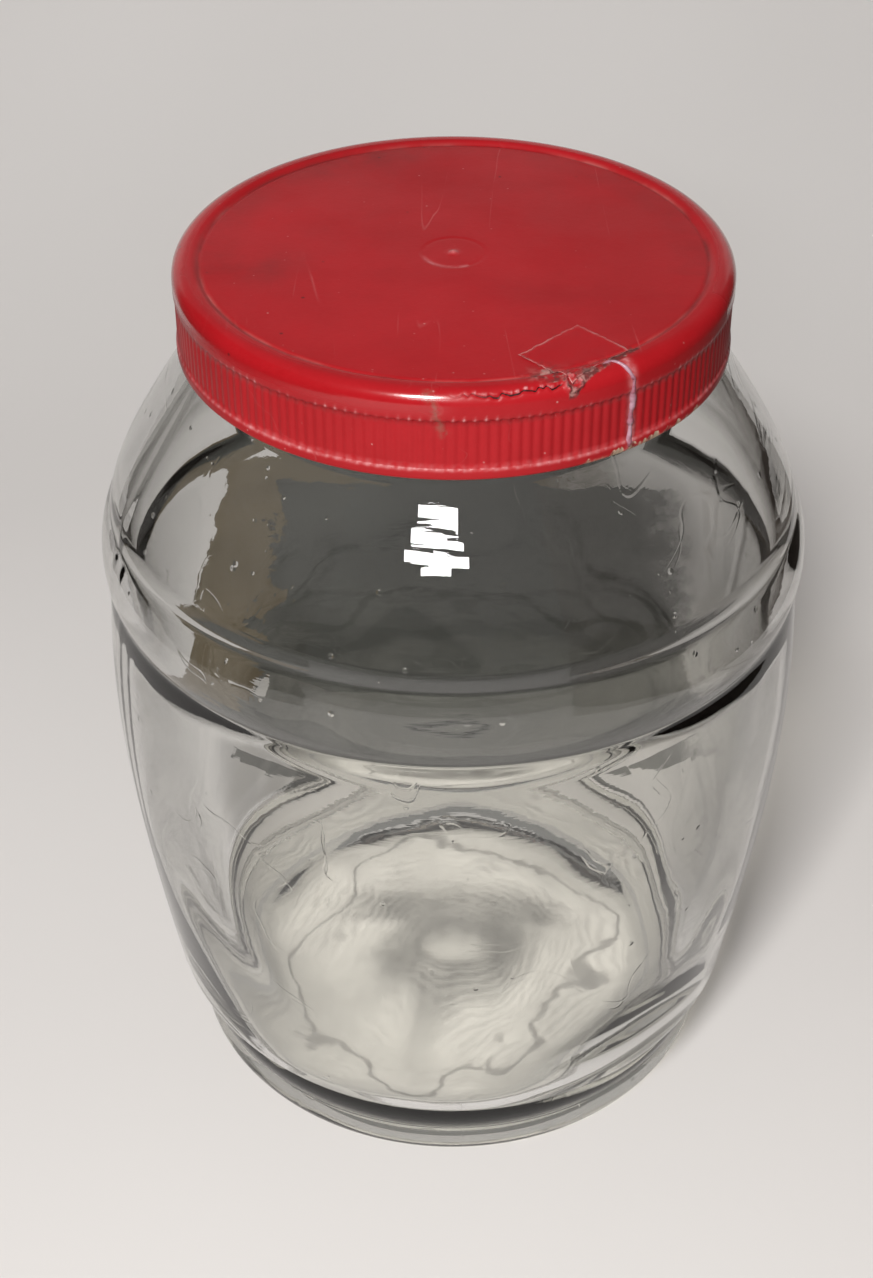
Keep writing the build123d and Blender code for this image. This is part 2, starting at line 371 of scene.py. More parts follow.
def angle_round(theta):
    """Angle round the lid in degrees, from -180 to 180."""
    return (np.degrees(theta) + 180) % 360 - 180


def grip_ribs(theta, z):
    """Height of the ribs: a clipped cosine round the skirt that fades out under the rim and over the bead."""
    ribs = np.clip(0.62 + 0.62 * np.cos(RIB_COUNT * theta), 0, 1) * RIB_H
    under_rim = 1 - ease(z, RIB_HIGH_Z - 0.1, RIB_HIGH_Z + 0.7)
    return ribs * ease(z, RIB_LOW_Z - 0.5, RIB_LOW_Z + 0.2) * under_rim


def crack(degrees, r, top):
    """The crack along the rim: where it runs, how far a point lies outside it, and its torn inner lip."""
    crack_on = ease(degrees, CRACK_FROM, CRACK_FROM + 12) * (1 - ease(degrees, CRACK_TO - 0.3, CRACK_TO))
    crack_gap = np.where(top, r - crack_radius(degrees), 9.0)
    fleck = np.clip(jitter(degrees, 8, 0.45) * 1.6 - 0.35, 0, 1)
    return crack_on, crack_gap, crack_on * bump(crack_gap, -0.32, 0.26) * fleck


def melt(x, y, z):
    """The melted place on the rim: distance and direction from its middle, and its curled ring's radius."""
    melt_x = MELT_R * math.cos(math.radians(MELT_AT))
    melt_y = MELT_R * math.sin(math.radians(MELT_AT))
    melt_z = lid_top_height(MELT_R)
    away = np.sqrt((x - melt_x) ** 2 + (y - melt_y) ** 2 * 1.2 + (z - melt_z) ** 2)
    around = np.arctan2(y - melt_y, x - melt_x)
    return away, around, 1.5 + 0.22 * np.sin(3 * around + 1) + 0.1 * np.sin(7 * around)


def chips(degrees):
    """The chipped stretch of the lower edge: where it lies and how deep each random bite is."""
    chips_on = ease(degrees, CHIPS_FROM, CHIPS_FROM + 3) * (1 - ease(degrees, CHIPS_TO - 3, CHIPS_TO))
    bites = np.clip(jitter(degrees, 15, 1.3) + 0.6 * jitter(degrees, 16, 0.45) + 0.25, 0, 1.2)
    return chips_on, bites


def lid_grime(x, y, r, degrees, away):
    """Dirt on top: along the groove near the melted place, round that place, and at the tape's low edges."""
    tape_u, tape_v = tape_sides(x, y)
    in_tape = (np.abs(tape_u) < TAPE_HALF[0] + 1.2) * (np.abs(tape_v) < TAPE_HALF[1] + 1.2)
    rim_band = bump(r, 53.0, 1.5) * ease(degrees, -78, -71) * (1 - ease(degrees, -58, -52))
    low_side = bump(tape_v, -TAPE_HALF[1], 1.3) + bump(tape_u, -TAPE_HALF[0], 1.4) * (tape_v < 2.5)
    return 1.5 * rim_band + 1.5 * bump(away, 1.8, 2.6) * (r < 56.2) + 1.5 * low_side * in_tape


def lid_patches_and_painted_side_shade(x, y, z, r, degrees, top, skirt):
    """Darker patches: two on the panel and a band along its back edge; and painted shade on the skirt,
    darkest at its sides and back.
    """
    patches_and_painted_side_shade = bump(np.hypot(x + 38, y + 6.5), 0, 7.5) + 0.6 * bump(np.hypot(x + 20, (y - 44) * 1.5), 0, 15)
    patches_and_painted_side_shade = np.where(top, patches_and_painted_side_shade + 0.7 * bump(r, 49.5, 3.0) * (y > -10), 0)
    # Painted shade: the skirt darkens away from the front, fully at its sides and back.
    return patches_and_painted_side_shade + 1.5 * ease(np.abs(degrees + 90), 38, 85) * (1 - ease(z, 202, 206)) * skirt


def painted_rib_highlights_and_glue_line(theta, z, degrees, skirt):
    """Pale marks on the skirt: painted highlights as a dot at the top of each rib and scallops under the
    ribs, and the whitened line along the glue.
    """
    # Painted highlights: the dots at the rib tops and the scallops over the bead.
    tooth = np.clip(np.cos(RIB_COUNT * theta), 0, 1)
    dots = 0.8 * tooth**3 * bump(z, RIB_HIGH_Z + 0.55, 0.3) * np.clip(jitter(degrees, 62, 4.0) + 0.45, 0, 1)
    scallops = (0.35 + 0.35 * tooth) * bump(z, RIB_LOW_Z - 0.3, 0.3)
    scallops = scallops * (0.65 + 0.35 * jitter(degrees, 63, 6.0))
    glue_line = bump(degrees, GLUE_DOWN + 0.5 * jitter(z, 17, 3.0), 0.9)
    return (dots + scallops + 0.5 * glue_line) * skirt


def screw_lid():
    """The lid's shell: the profile turned, with its ribs, a warped panel, the gate mark, the crack and the
    melted ring pushed in or out along the profile's normals, and the chipped lower edge lifted."""
    profile = lid_profile()
    normal = facing(profile)
    columns = RIB_COUNT * 6
    shape = (len(profile), columns)
    theta = (np.arange(columns) * 2 * np.pi / columns)[None, :]
    degrees = angle_round(theta)
    r, z = profile[:, 0][:, None], profile[:, 1][:, None]
    x, y = r * np.cos(theta), r * np.sin(theta)
    outer = np.arange(len(profile))[:, None] > 14
    top = outer & (z > LID_TOP - RIM_ROUND - 0.1)
    skirt = outer * (r > 55)

    crack_on, crack_gap, lips = crack(degrees, r, top)
    away, around, curl = melt(x, y, z)
    chips_on, bites = chips(degrees)

    warp = 0.10 * waves(theta, r * 2.0, 21, (1, 4), 90) * ease(r, 3, 20) * (1 - ease(r, 44, 51)) * top
    gate = -0.12 * bump(r, GATE_R, 0.35) - 0.05 * (1 - ease(r, GATE_R - 0.8, GATE_R)) + 0.5 * bump(r, 0, 0.75)
    crown = 0.8 * bump(away, curl, 0.36) * (1 + 0.3 * np.sin(5 * around) + 0.22 * np.sin(9 * around + 2))
    push = grip_ribs(theta, z) * outer + warp + gate * top
    push = push - 0.35 * crack_on * bump(crack_gap, 0, 0.22) + 0.3 * lips
    push = push + np.where(top, crown - 0.35 * bump(away, 0, 0.9), 0)
    lift = 1.2 * chips_on * bites * (1 - ease(z, LID_BOTTOM + 0.1, LID_BOTTOM + 1.9)) * outer

    streak_at = -94.8 + 3.7 * (LID_TOP - z) / 10 + 0.5 * jitter(z, 61, 1.1)
    # Painted highlights: the crescent on the front of the gate ring, the glints round the melted ring and the
    # gate's nib. The crack's lips carry whitened flecks.
    crescent = bump(r, GATE_R, 0.4) * (degrees < -60) * ease(np.abs(np.sin(theta)), 0.1, 0.6)
    curled = 0.7 * bump(away, curl, 0.3) * (0.5 + 0.5 * np.sin(4 * around))
    pale = np.where(top, 0.8 * lips + curled + 0.35 * crescent + 0.9 * bump(r, 0, 0.75), 0)
    chip = chips_on * (0.3 + np.clip(bites, 0, 1)) * (1 - ease(z, LID_BOTTOM + 0.1, LID_BOTTOM + 0.9))
    unpolished = ease(degrees, -95, -88) * (degrees < -20)
    marks = {
        "grime": np.where(top, np.clip(lid_grime(x, y, r, degrees, away), 0, 1), 0),
        # Darker patches on the panel and painted shade on the skirt's sides and back.
        "patches_and_painted_side_shade": np.clip(lid_patches_and_painted_side_shade(x, y, z, r, degrees, top, skirt), 0, 1),
        "residue": np.clip(bump(degrees, streak_at, 0.9) * ease(z, 195.5, 198) * skirt, 0, 1),
        "groove": np.where(top, bump(r, PANEL_R, 0.42), 0),
        # Pale: whitened plastic at the crack and along the glue, and painted highlights at the gate, the
        # melted ring, the rib ends and the bead.
        "pale": np.clip(pale + painted_rib_highlights_and_glue_line(theta, z, degrees, skirt), 0, 1),
        "chip": np.clip(chip * (outer | (r > 55.6)), 0, 1),
        "polish": ease(r, PANEL_R + 1, PANEL_R + 3) * ease(z, 201, 203.5) * (1 - unpolished),
        "crack_gap": crack_gap,
        "crack_on": np.where(top, crack_on, 0),
    }
    marks = {name: np.broadcast_to(values, shape) for name, values in marks.items()}
    radius = np.maximum(r + push * normal[:, 0:1], 0.1)
    height = z + push * normal[:, 1:2] + lift
    return turned("lid_shell", radius, height, theta, marks)


def lid_thread():
    """Helical ridge inside the skirt: an ellipse carried along the helix, thinning out at both ends."""
    turns = np.linspace(LID_THREAD_START, LID_THREAD_START + LID_THREAD_TURNS, 240)
    angle = 2 * np.pi * turns
    z = THREAD_Z - LID_THREAD_DROP + THREAD_PITCH * turns
    path = np.stack([LID_WALL_R * np.cos(angle), LID_WALL_R * np.sin(angle), z], -1)
    across = np.stack([np.cos(angle), np.sin(angle), np.zeros_like(angle)], -1)
    up = np.tile([0.0, 0.0, 1.0], (len(turns), 1))
    fade = ease(turns, turns[0], turns[0] + 0.05) * (1 - ease(turns, turns[-1] - 0.05, turns[-1]))
    return tube("lid_thread", path, across, up, 0.25 + 1.3 * fade, 0.2 + 0.85 * fade)


def lid_liner():
    """Foam disc: a flat turned disc with soft edges and the ring that the glass rim has pressed into it."""
    low, high = liner_low.z / MM, liner_high.z / MM
    out = (liner_high.x - liner_low.x) / 2 / MM
    profile = chain(
        run((0.5, low), (46.0, low), 14),
        run((46.0, low), (out - 0.25, low), 26),
        bow((out - 0.25, low), (out - 0.07, low + 0.07), (out, low + 0.25), 4),
        run((out, low + 0.25), (out, high - 0.25), 3),
        bow((out, high - 0.25), (out - 0.07, high - 0.07), (out - 0.25, high), 4),
        run((out - 0.25, high), (0.5, high), 12),
    )
    columns = 180
    theta = np.linspace(0, 2 * np.pi, columns, endpoint=False)[None, :]
    r, z = profile[:, 0][:, None], profile[:, 1][:, None]
    under = z < low + 0.1
    pressed = np.clip(bump(r, 50.9, 1.5) * 1.3, 0, 1) * under
    grain = 0.02 * waves(theta, r * 3, 31, (4, 12), 60)
    marks = {"pressed": np.broadcast_to(pressed, (len(profile), columns))}
    return turned("liner_disc", r + 0 * theta, z + PRESSED_DEPTH * pressed + grain * under, theta, marks)


def tape_patch():
    """Clear tape: a square sheet of points laid on the lid's top, with its own thickness, small wrinkles
    over the rim and edges that have lifted a little."""
    n = 56
    u, v = np.meshgrid(np.linspace(-1, 1, n), np.linspace(-1, 1, n), indexing="ij")
    pu = u * TAPE_HALF[0] * (1 + 0.02 * jitter(v * 20, 41, 1.4))
    pv = v * TAPE_HALF[1] * (1 + 0.03 * jitter(u * 20, 42, 1.9))
    c, s = math.cos(TAPE_TURN), math.sin(TAPE_TURN)
    x = TAPE_CENTRE[0] + pu * c - pv * s
    y = TAPE_CENTRE[1] + pu * s + pv * c
    r = np.hypot(x, y)
    keep = np.minimum(r, LID_R - 0.25)
    x, y = x * keep / r, y * keep / r
    border = np.maximum(np.abs(u), np.abs(v))
    wrinkle = 0.05 * np.sin(pu * 2.3 + 1.5 * np.sin(pv * 1.1)) * ease(keep, 51, 54)
    top = lid_top_height(keep) + 0.16 + wrinkle + 0.10 * ease(border, 0.94, 1)
    under = top - TAPE_T
    sheet = np.stack([x, y, top], -1).reshape(-1, 3)
    back = np.stack([x, y, under], -1).reshape(-1, 3)
    quads = np.array(grid_faces(n, n, wrap=False))
    faces = quads.tolist() + (quads[:, ::-1] + n * n).tolist()
    number = np.arange(n * n).reshape(n, n)
    ring = np.concatenate([number[0], number[1:, -1], number[-1, -2::-1], number[-2:0:-1, 0]])
    following = np.roll(ring, -1)
    faces += np.stack([following, ring, ring + n * n, following + n * n], -1).tolist()
    edge = np.tile(ease(border, 0.93, 1.0).reshape(-1), 2)
    low_corner = np.tile(np.maximum(ease(-u, 0.6, 1.0), ease(-v, 0.55, 1.0)).reshape(-1), 2)
    return make_mesh("tape_film", np.concatenate([sheet, back]), faces, {"edge": edge, "dirty": low_corner})


def repair_glue():
    """Dried glue: an uneven half-sunk bead that starts on the rim, bends over it and runs down the skirt."""
    over, down = 40, 70
    share = np.arange(over + down) / (over + down)
    degrees = np.concatenate([np.linspace(GLUE_FROM, GLUE_DOWN - 0.2, over), np.full(down, GLUE_DOWN)])
    r = np.concatenate([54.4 + 3.6 * ease(np.linspace(0, 1, over), 0.35, 1.0), np.full(down, LID_R)])
    on_rim = lid_top_height(np.minimum(r[:over], LID_R - 0.02))
    z = np.concatenate([on_rim, np.linspace(LID_TOP - RIM_ROUND, LID_BOTTOM + 1.0, down)])
    skirt = ease(-z, -(RIB_HIGH_Z + 0.6), -(RIB_HIGH_Z - 0.4)) * ease(z, RIB_LOW_Z - 0.6, RIB_LOW_Z + 0.2)
    r = r - 0.3 * skirt
    angle = np.radians(degrees + 0.45 * jitter(z, 51, 3.1) * ease(share, 0.35, 0.5))
    path = np.stack([r * np.cos(angle), r * np.sin(angle), z], -1)
    along = np.gradient(path, axis=0)
    along /= np.linalg.norm(along, axis=1, keepdims=True)
    out = np.stack([np.cos(angle), np.sin(angle), np.zeros_like(angle)], -1)
    lean = ease(share, 0.15, 0.38)
    up = out * lean[:, None] + np.array([0, 0, 1.0]) * (1 - lean[:, None])
    up /= np.linalg.norm(up, axis=1, keepdims=True)
    across = np.cross(along, up)
    across /= np.linalg.norm(across, axis=1, keepdims=True)
    place = share * (over + down)
    lumps = 1 + 0.35 * jitter(place, 52, 6.0) + 0.2 * jitter(place, 53, 2.5)
    swell = 0.22 + 0.34 * bump(share, 0.66, 0.2) + 0.3 * bump(share, 0.94, 0.05)
    ends = ease(share, 0, 0.08) * (1 - 0.6 * ease(share, 0.93, 1))
    half_width = 0.12 + swell * lumps * ends
    half_height = 0.08 + (0.2 + 0.14 * lean) * lumps * ends
    return tube("glue_bead", path, across, up, half_width, half_height)


# ---- Shader helpers -------------------------------------------------------------------------
class Nodes:
    """Short calls for adding nodes to one tree and joining them."""

    def __init__(self, tree):
        self.tree = tree

    def add(self, kind, inputs=None, **values):
        node = self.tree.nodes.new(kind)
        for name, value in values.items():
            setattr(node, name, value)
        for name, value in (inputs or {}).items():
            self.put(node.inputs[name], value)
        return node

    def put(self, socket, value):
        if isinstance(value, bpy.types.NodeSocket):
            self.tree.links.new(value, socket)
        else:
            socket.default_value = value

    def noise(self, vector, scale, detail=3.0, rough=0.5, warp=0.0):
        inputs = {"Vector": vector, "Scale": scale, "Detail": detail, "Roughness": rough, "Distortion": warp}
        return self.add("ShaderNodeTexNoise", inputs).outputs["Fac"]

    def span(self, value, low, high, out_low=0.0, out_high=1.0):
        inputs = {"Value": value, "From Min": low, "From Max": high, "To Min": out_low, "To Max": out_high}
        return self.add("ShaderNodeMapRange", inputs, interpolation_type="SMOOTHSTEP").outputs["Result"]

    def math(self, operation, a, b=0.0):
        node = self.add("ShaderNodeMath", operation=operation)
        self.put(node.inputs[0], a)
        self.put(node.inputs[1], b)
        return node.outputs[0]

    def mix(self, factor, a, b, blend="MIX"):
        node = self.add("ShaderNodeMix", data_type="RGBA", blend_type=blend)
        self.put(node.inputs[0], factor)
        self.put(node.inputs[6], a)
        self.put(node.inputs[7], b)
        return node.outputs[2]

    def mark(self, name):
        return self.add("ShaderNodeAttribute", attribute_name=name).outputs["Fac"]


def group(name, sockets_in, sockets_out):
    """An empty shader node group with named inputs and outputs."""
    tree = bpy.data.node_groups.new(name, "ShaderNodeTree")
    for label, kind, value in sockets_in:
        socket = tree.interface.new_socket(name=label, in_out="INPUT", socket_type=kind)
        if value is not None:
            socket.default_value = value
    for label, kind in sockets_out:
        tree.interface.new_socket(name=label, in_out="OUTPUT", socket_type=kind)
    inside = Nodes(tree)
    return tree, inside, inside.add("NodeGroupInput").outputs, inside.add("NodeGroupOutput").inputs


def dust_group():
    """Fine specks and lint: a mask of small dots at two sizes, gathered where a slow noise is high."""
    tree, n, given, out = group(
        "dust_specks",
        [
            ("Vector", "NodeSocketVector", None),
            ("Scale", "NodeSocketFloat", 900.0),
            ("Amount", "NodeSocketFloat", 0.5),
        ],
        [("Mask", "NodeSocketFloat")],
    )
    cells = n.add("ShaderNodeTexVoronoi", {"Vector": given["Vector"], "Scale": given["Scale"]})
    dots = n.span(cells.outputs["Distance"], 0.16, 0.05)
    pick = n.add("ShaderNodeSeparateColor", {"Color": cells.outputs["Color"]}).outputs[0]
    chosen = n.math("LESS_THAN", pick, given["Amount"])
    patches = n.span(n.noise(given["Vector"], 45.0, 3.0), 0.42, 0.6)
    n.put(out["Mask"], n.math("MULTIPLY", n.math("MULTIPLY", dots, chosen), patches))
    return tree


def smear_group():
    """Hand marks and wiped dirt: two noises, one drawn out along X, as a soft mask."""
    tree, n, given, out = group(
        "smears",
        [("Vector", "NodeSocketVector", None), ("Scale", "NodeSocketFloat", 25.0)],
        [("Mask", "NodeSocketFloat")],
    )
    drawn_out = {"Vector": given["Vector"], "Scale": (0.6, 1.7, 1.0), "Rotation": (0, 0, 0.5)}
    drawn_out = n.add("ShaderNodeMapping", drawn_out).outputs[0]
    soft = n.span(n.noise(drawn_out, given["Scale"], 4.0, 0.55, 0.6), 0.42, 0.72)
    broad = n.span(n.noise(given["Vector"], 14.0, 2.0), 0.35, 0.7)
    n.put(out["Mask"], n.math("MULTIPLY", soft, broad))
    return tree


def scratch_group():
    """Fine scratches: thin lines where a stretched, bent wave crosses zero, kept in random patches."""
    tree, n, given, out = group(
        "fine_scratches",
        [
            ("Vector", "NodeSocketVector", None),
            ("Scale", "NodeSocketFloat", 60.0),
            ("Turn", "NodeSocketVector", None),
        ],
        [("Mask", "NodeSocketFloat")],
    )
    stretched = {"Vector": given["Vector"], "Rotation": given["Turn"], "Scale": (1.0, 0.09, 1.0)}
    stretched = n.add("ShaderNodeMapping", stretched).outputs[0]
    field = n.noise(stretched, given["Scale"], 2.0, 0.4, 0.3)
    line = n.span(n.math("ABSOLUTE", n.math("SUBTRACT", field, 0.5)), 0.006, 0.0)
    patch = n.span(n.noise(given["Vector"], 38.0, 2.0), 0.52, 0.66)
    n.put(out["Mask"], n.math("MULTIPLY", line, patch))
    return tree


DUST, SMEAR, SCRATCH = dust_group(), smear_group(), scratch_group()


def new_material(name):
    """A material with its Principled shader, its nodes and its Object coordinates."""
    material = bpy.data.materials.new(name)
    material.use_nodes = True
    n = Nodes(material.node_tree)
    shader = material.node_tree.nodes["Principled BSDF"]
    place = n.add("ShaderNodeTexCoord").outputs["Object"]
    return material, n, shader, place


def use(n, tree, inputs):
    """Places a node group in a tree, sets its inputs by name and gives its mask."""
    node = n.tree.nodes.new("ShaderNodeGroup")
    node.node_tree = tree
    for name, value in inputs.items():
        n.put(node.inputs[name], value)
    return node.outputs["Mask"]


# ---- Materials ------------------------------------------------------------------------------
def plain_red(n, place):
    """The plastic's colour: two reds in clouds with a fine mottle, darker in smears and patches, and painted
    shade on the skirt's sides and back.
    """
    smears = use(n, SMEAR, {"Vector": place, "Scale": 26.0})
    cloud = n.span(n.noise(place, 22.0, 4.0, 0.6), 0.3, 0.7)
    mottle = n.span(n.noise(place, 900.0, 3.0, 0.7), 0.3, 0.7, -0.12, 0.12)
    colour = n.mix(n.math("ADD", cloud, mottle), (0.335, 0.0065, 0.010, 1), (0.40, 0.009, 0.014, 1))
    colour = n.mix(n.math("MULTIPLY", smears, 0.22), colour, (0.13, 0.008, 0.010, 1))
    # Darker patches, and painted shade on the skirt's sides and back, from the lid's marks.
    patches_and_painted_side_shade = n.span(n.noise(place, 90.0, 5.0, 0.65), 0.3, 0.7, 0.15, 0.8)
    patches_and_painted_side_shade = n.math("MULTIPLY", n.mark("patches_and_painted_side_shade"), patches_and_painted_side_shade)
    return n.mix(n.math("MULTIPLY", patches_and_painted_side_shade, 0.75), colour, (0.15, 0.016, 0.016, 1)), smears


def marked_red(n, place, colour):
    """The marks on the red: the dirty groove, an old streak, pale whitened plastic with painted highlights,
    soil and chips.
    """
    groove = n.math("MULTIPLY", n.mark("groove"), n.span(n.noise(place, 120.0, 4.0), 0.35, 0.65, 0.1, 0.7))
    tone = n.mix(n.span(n.noise(place, 35.0, 2.0), 0.42, 0.58), (0.13, 0.02, 0.02, 1), (0.42, 0.13, 0.12, 1))
    colour = n.mix(groove, colour, tone)
    residue = n.math("MULTIPLY", n.mark("residue"), n.span(n.noise(place, 500.0, 4.0, 0.65), 0.38, 0.62))
    colour = n.mix(n.math("MULTIPLY", residue, 0.7), colour, (0.24, 0.085, 0.065, 1))
    # Pale: whitened plastic, and painted highlights on the rib ends, the bead, the gate mark and the melted
    # ring.
    pale = n.math("MULTIPLY", n.mark("pale"), n.span(n.noise(place, 700.0, 3.0), 0.35, 0.6, 0.35, 1.0))
    colour = n.mix(pale, colour, (0.72, 0.36, 0.37, 1))
    grime = n.math("MULTIPLY", n.mark("grime"), n.span(n.noise(place, 380.0, 5.0, 0.7), 0.36, 0.56))
    soil = n.span(n.noise(place, 600.0, 3.0), 0.45, 0.62)
    soil = n.mix(soil, (0.085, 0.03, 0.028, 1), (0.34, 0.19, 0.17, 1))
    colour = n.mix(n.math("MULTIPLY", grime, 0.88), colour, soil)
    chip = n.math("MULTIPLY", n.mark("chip"), n.span(n.noise(place, 420.0, 4.0, 0.6), 0.36, 0.5))
    return n.mix(chip, colour, (0.66, 0.50, 0.36, 1)), grime


def red_plastic():
    """Worn red polypropylene: darker patches, painted shade on the skirt's sides, marks of use with painted
    highlights, the crack's hairline, dust and scratches.
    """
    material, n, shader, place = new_material("lid_red_plastic")
    colour, smears = plain_red(n, place)
    colour, grime = marked_red(n, place, colour)
    hair = n.span(n.math("ABSOLUTE", n.mark("crack_gap")), 0.17, 0.05)
    hair = n.math("MULTIPLY", hair, n.mark("crack_on"))
    colour = n.mix(hair, colour, (0.022, 0.004, 0.005, 1))
    dust = use(n, DUST, {"Vector": place, "Scale": 520.0, "Amount": 0.12})
    colour = n.mix(n.math("MULTIPLY", dust, 0.5), colour, (0.60, 0.36, 0.34, 1))
    specks = use(n, DUST, {"Vector": place, "Scale": 300.0, "Amount": 0.05})
    colour = n.mix(n.math("MULTIPLY", specks, 0.8), colour, (0.05, 0.012, 0.012, 1))
    scratches = use(n, SCRATCH, {"Vector": place, "Scale": 70.0, "Turn": (0, 0, 0.7)})
    colour = n.mix(n.math("MULTIPLY", scratches, 0.22), colour, (0.58, 0.17, 0.17, 1))
    n.put(shader.inputs["Base Color"], colour)
    rough = n.span(n.noise(place, 60.0, 4.0, 0.6), 0.3, 0.75, 0.33, 0.46)
    rough = n.math("ADD", rough, n.math("MULTIPLY", grime, 0.35))
    rough = n.math("SUBTRACT", rough, n.math("MULTIPLY", n.mark("polish"), 0.2))
    n.put(shader.inputs["Roughness"], n.math("ADD", rough, n.math("MULTIPLY", smears, 0.08)))
    height = n.math("MULTIPLY", n.noise(place, 900.0, 3.0, 0.6), 0.35)
    height = n.math("ADD", height, n.math("MULTIPLY", scratches, -0.8))
    height = n.math("ADD", height, n.math("MULTIPLY", hair, -1.5))
    relief = n.add("ShaderNodeBump", {"Height": height, "Strength": 0.2, "Distance": 0.0004})
    n.put(shader.inputs["Normal"], relief.outputs[0])
    n.put(shader.inputs["Coat Weight"], n.math("MULTIPLY", n.mark("polish"), 0.6))
    shader.inputs["Coat Roughness"].default_value = 0.19
    shader.inputs["IOR"].default_value = 1.46
    shader.inputs["Specular IOR Level"].default_value = 0.26
    return material


def glass_height(n, place):
    """Height of the glass skin: slow ripples, fine drawn lines, seeds, scratches and a nest of blisters at
    the front left of the shoulder."""
    seeds = use(n, DUST, {"Vector": place, "Scale": 210.0, "Amount": 0.10})
    drawn = n.add("ShaderNodeMapping", {"Vector": place, "Scale": (0.25, 0.25, 2.6)}).outputs[0]
    scratches = use(n, SCRATCH, {"Vector": place, "Scale": 40.0, "Turn": (0.3, 0.2, 0.9)})
    nest = {0: place, 1: (-0.040, -0.047, 0.176)}
    nest = n.add("ShaderNodeVectorMath", nest, operation="DISTANCE").outputs["Value"]
    blisters = use(n, DUST, {"Vector": place, "Scale": 330.0, "Amount": 0.22})
    blisters = n.math("MULTIPLY", blisters, n.span(nest, 0.020, 0.010))
    height = n.math("MULTIPLY", n.noise(place, 55.0, 2.0, 0.4), 0.3)
    height = n.math("ADD", height, n.math("MULTIPLY", seeds, 0.9))
    height = n.math("ADD", height, n.math("MULTIPLY", n.noise(drawn, 160.0, 3.0, 0.6), 0.04))
    height = n.math("ADD", height, n.math("MULTIPLY", blisters, 1.2))
    return n.math("ADD", height, n.math("MULTIPLY", scratches, -0.15))


def floor_light(n, place, parts):
    """Tint of the light that the thick floor lets down: soft clouds, fine rings, a dark ring round a bright
    middle, a dark band behind it and a thin dark line that wanders round them all."""
    level = n.add("ShaderNodeCombineXYZ", {"X": parts[0], "Y": parts[1]}).outputs[0]
    reach = n.add("ShaderNodeVectorMath", {0: level}, operation="LENGTH").outputs["Value"]
    reach = n.math("ADD", reach, n.span(n.noise(place, 45.0, 3.0, 0.6), 0.2, 0.8, -0.004, 0.004))
    dark_ring = n.math("MULTIPLY", n.span(reach, 0.001, 0.0065), n.span(reach, 0.026, 0.012))
    band = n.math("MULTIPLY", n.span(parts[1], 0.007, 0.012), n.span(parts[1], 0.026, 0.017))
    band = n.math("MULTIPLY", band, n.span(n.math("ABSOLUTE", parts[0]), 0.034, 0.022))
    dark = n.math("MULTIPLY", n.math("MAXIMUM", dark_ring, band), 0.78)
    rings = n.math("MULTIPLY", n.math("SINE", n.math("MULTIPLY", reach, 2600.0)), 0.2)
    rings = n.math("MULTIPLY", rings, n.span(n.noise(place, 40.0, 2.0), 0.4, 0.6))
    cloud = n.span(n.noise(place, 38.0, 6.0, 0.68, 0.4), 0.32, 0.66, 1.12, 1.68)
    cloud = n.mix(n.span(reach, 0.044, 0.054), cloud, (1.1, 1.1, 1.1, 1))
    gather = n.math("SUBTRACT", n.math("ADD", cloud, rings), dark)
    shore = n.math("ADD", reach, n.span(n.noise(place, 24.0, 1.5, 0.45), 0.25, 0.75, -0.010, 0.010))
    shore = n.span(n.math("ABSOLUTE", n.math("SUBTRACT", shore, 0.041)), 0.0014, 0.0002)
    gather = n.math("MULTIPLY", gather, n.math("SUBTRACT", 1.0, n.math("MULTIPLY", shore, 0.6)))
    warm = n.math("MULTIPLY", gather, 0.97)
    return n.add("ShaderNodeCombineColor", {"Red": gather, "Green": gather, "Blue": warm}).outputs[0]


def jar_glass():
    """Clear pressed glass with painted shade that greys it where it is seen at a slant, and a light film of
    handling on it.
    Light from lamps and from the paper goes straight through it, more where it meets the glass square on than
    at the edges."""
    material, n, shader, place = new_material("jar_clear_glass")
    edge = n.add("ShaderNodeLayerWeight", {"Blend": 0.35}).outputs["Facing"]
    # Painted shade: the glass's colour turns grey where its surface is seen at a slant.
    body = n.mix(n.span(edge, 0.2, 0.9), (0.96, 0.962, 0.955, 1), (0.48, 0.475, 0.45, 1))
    n.put(shader.inputs["Base Color"], body)
    shader.inputs["Transmission Weight"].default_value = 1.0
    shader.inputs["Metallic"].default_value = 0.0
    shader.inputs["IOR"].default_value = 1.51
    film = use(n, SMEAR, {"Vector": place, "Scale": 20.0})
    n.put(shader.inputs["Roughness"], n.span(film, 0.72, 1.0, 0.0, 0.05))
    relief = {"Height": glass_height(n, place), "Strength": 0.35, "Distance": 0.0005}
    n.put(shader.inputs["Normal"], n.add("ShaderNodeBump", relief).outputs[0])

    parts = n.add("ShaderNodeSeparateXYZ", {"Vector": place}).outputs
    tint = n.mix(n.span(edge, 0.35, 1.0), (0.96, 0.957, 0.945, 1), (0.2, 0.2, 0.19, 1))
    tint = n.mix(n.math("LESS_THAN", parts[2], FLOOR_TOP), tint, (0.98, 0.975, 0.96, 1))
    tint = n.mix(n.math("LESS_THAN", parts[2], FLOOR_UNDER), tint, floor_light(n, place, parts))
    clear = n.add("ShaderNodeBsdfTransparent", {"Color": tint}).outputs[0]
    path = n.add("ShaderNodeLightPath").outputs
    surface = shader.outputs[0]
    for ray in ("Is Shadow Ray", "Is Diffuse Ray"):
        surface = n.add("ShaderNodeMixShader", {0: path[ray], 1: surface, 2: clear}).outputs[0]
    output = n.tree.nodes["Material Output"].inputs
    n.put(output["Surface"], surface)
    soak = n.add("ShaderNodeVolumeAbsorption", {"Color": (0.16, 0.17, 0.12, 1), "Density": 12.0})
    n.put(output["Volume"], soak.outputs[0])
    return material


